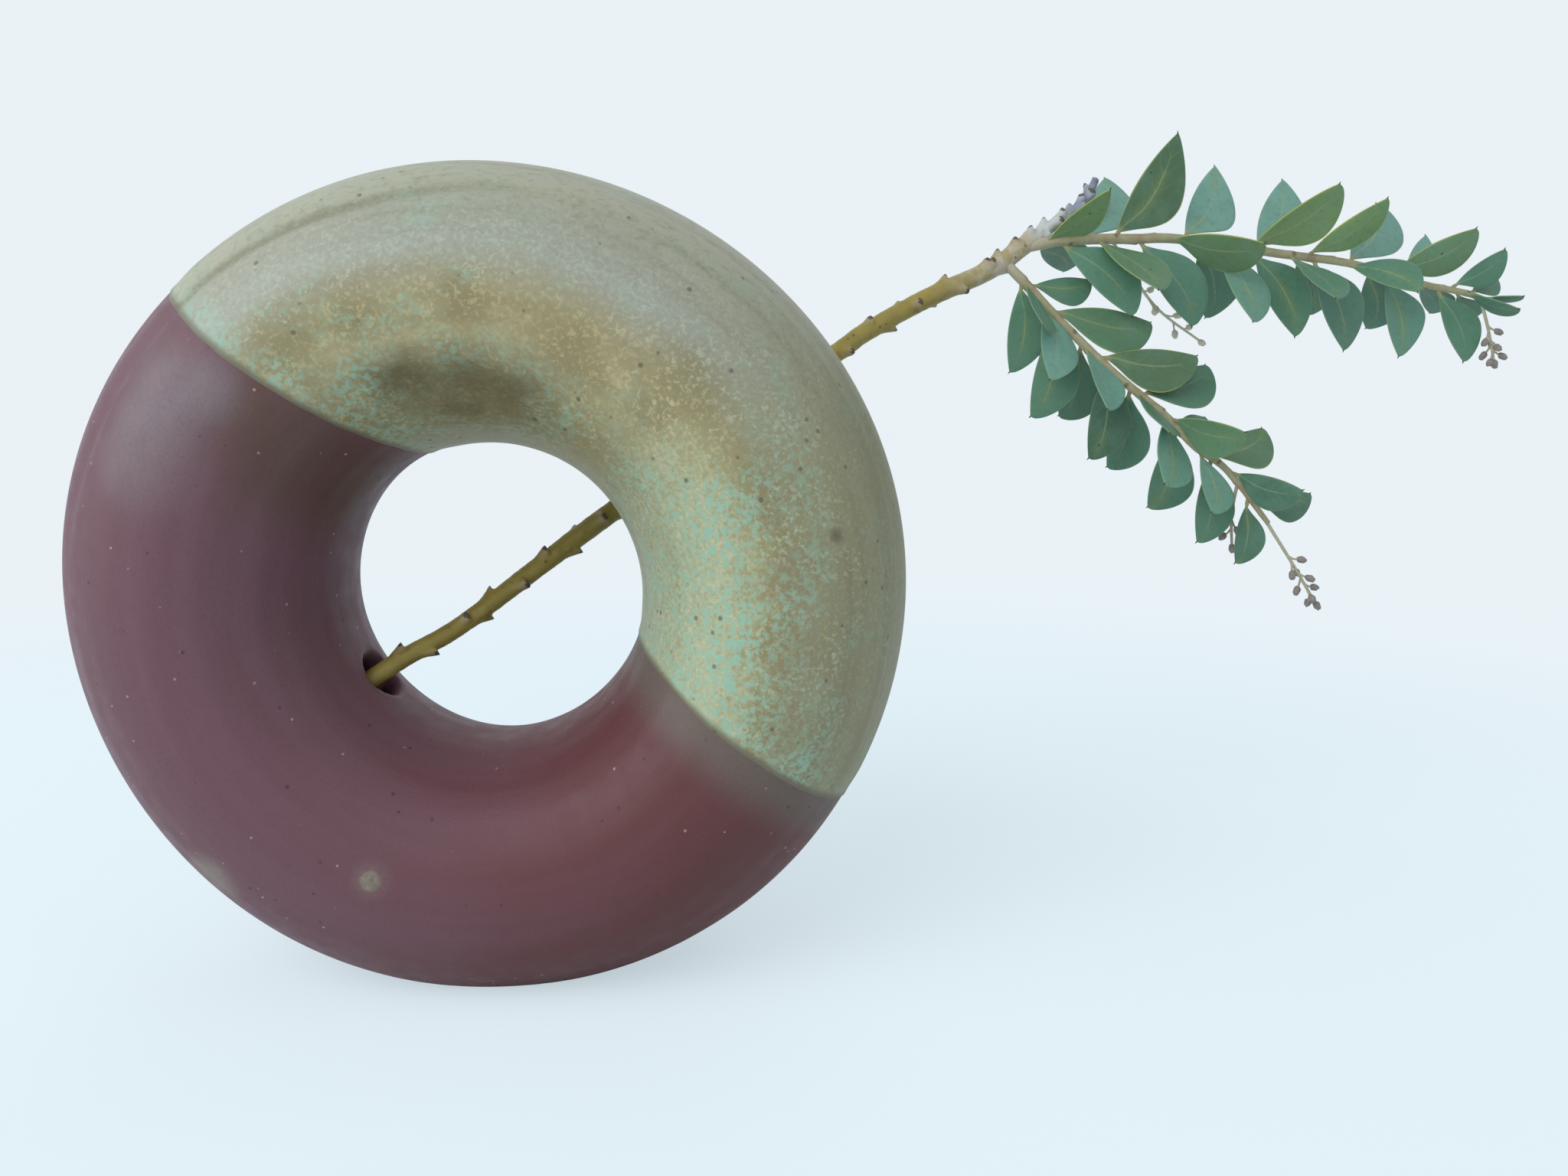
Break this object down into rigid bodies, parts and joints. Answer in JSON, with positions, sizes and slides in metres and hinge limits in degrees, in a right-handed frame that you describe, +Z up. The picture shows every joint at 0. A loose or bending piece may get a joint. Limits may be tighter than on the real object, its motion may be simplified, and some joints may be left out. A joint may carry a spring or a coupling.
{
  "type": "donut vase with a sprig",
  "caption": "Ring-shaped hollow stoneware vase, half dipped in mottled glaze, standing on a flat foot, with a small inner hole that holds a removable leafy sprig.",
  "frame": {"origin": "middle of the flat foot, on the surface that the vase stands on", "axes": "+Z up, ring axis along Y with the front at -Y, +X towards the sprig's leafy end"},
  "size_m": [0.3027, 0.1163, 0.1654],
  "materials": {
    "bare_clay": "matte",
    "mottled_glaze": "satin",
    "green_stem": "satin",
    "dry_twig": "matte",
    "young_shoot": "matte",
    "leaf": "matte",
    "flower_buds": "matte"
  },
  "bodies": {
    "vase": {"ring_body": "bare_clay", "glaze_coat": "mottled_glaze"},
    "sprig": {"back_bud_spray": "flower_buds", "dead_tip": "dry_twig", "lower_bud_spray": "flower_buds", "lower_leaf_01": "leaf", "lower_leaf_02": "leaf", "lower_leaf_03": "leaf", "lower_leaf_04": "leaf", "lower_leaf_05": "leaf", "lower_leaf_06": "leaf", "lower_leaf_07": "leaf", "lower_leaf_08": "leaf", "lower_leaf_09": "leaf", "lower_leaf_10": "leaf", "lower_leaf_11": "leaf", "lower_leaf_12": "leaf", "lower_leaf_13": "leaf", "lower_leaf_14": "leaf", "lower_leaf_15": "leaf", "lower_leaf_16": "leaf", "lower_leaf_17": "leaf", "lower_leaf_18": "leaf", "lower_leaf_19": "leaf", "lower_leaf_20": "leaf", "lower_leaf_21": "leaf", "lower_shoot": "young_shoot", "lower_tip_leaves": "leaf", "main_stem": "green_stem", "side_bud_spray": "flower_buds", "upper_bud_spray": "flower_buds", "upper_leaf_01": "leaf", "upper_leaf_02": "leaf", "upper_leaf_03": "leaf", "upper_leaf_04": "leaf", "upper_leaf_05": "leaf", "upper_leaf_06": "leaf", "upper_leaf_07": "leaf", "upper_leaf_08": "leaf", "upper_leaf_09": "leaf", "upper_leaf_10": "leaf", "upper_leaf_11": "leaf", "upper_leaf_12": "leaf", "upper_leaf_13": "leaf", "upper_leaf_14": "leaf", "upper_leaf_15": "leaf", "upper_leaf_16": "leaf", "upper_leaf_17": "leaf", "upper_leaf_18": "leaf", "upper_leaf_19": "leaf", "upper_leaf_20": "leaf", "upper_leaf_21": "leaf", "upper_leaf_22": "leaf", "upper_leaf_23": "leaf", "upper_leaf_24": "leaf", "upper_leaf_25": "leaf", "upper_leaf_26": "leaf", "upper_shoot": "young_shoot", "upper_tip_leaves": "leaf"}
  },
  "joints": [
    {"name": "sprig_slide", "type": "slide", "parent": "vase", "child": "sprig", "axis": [0.7551, 0.3991, 0.5201], "range_m": [0, 0.14]}
  ]
}
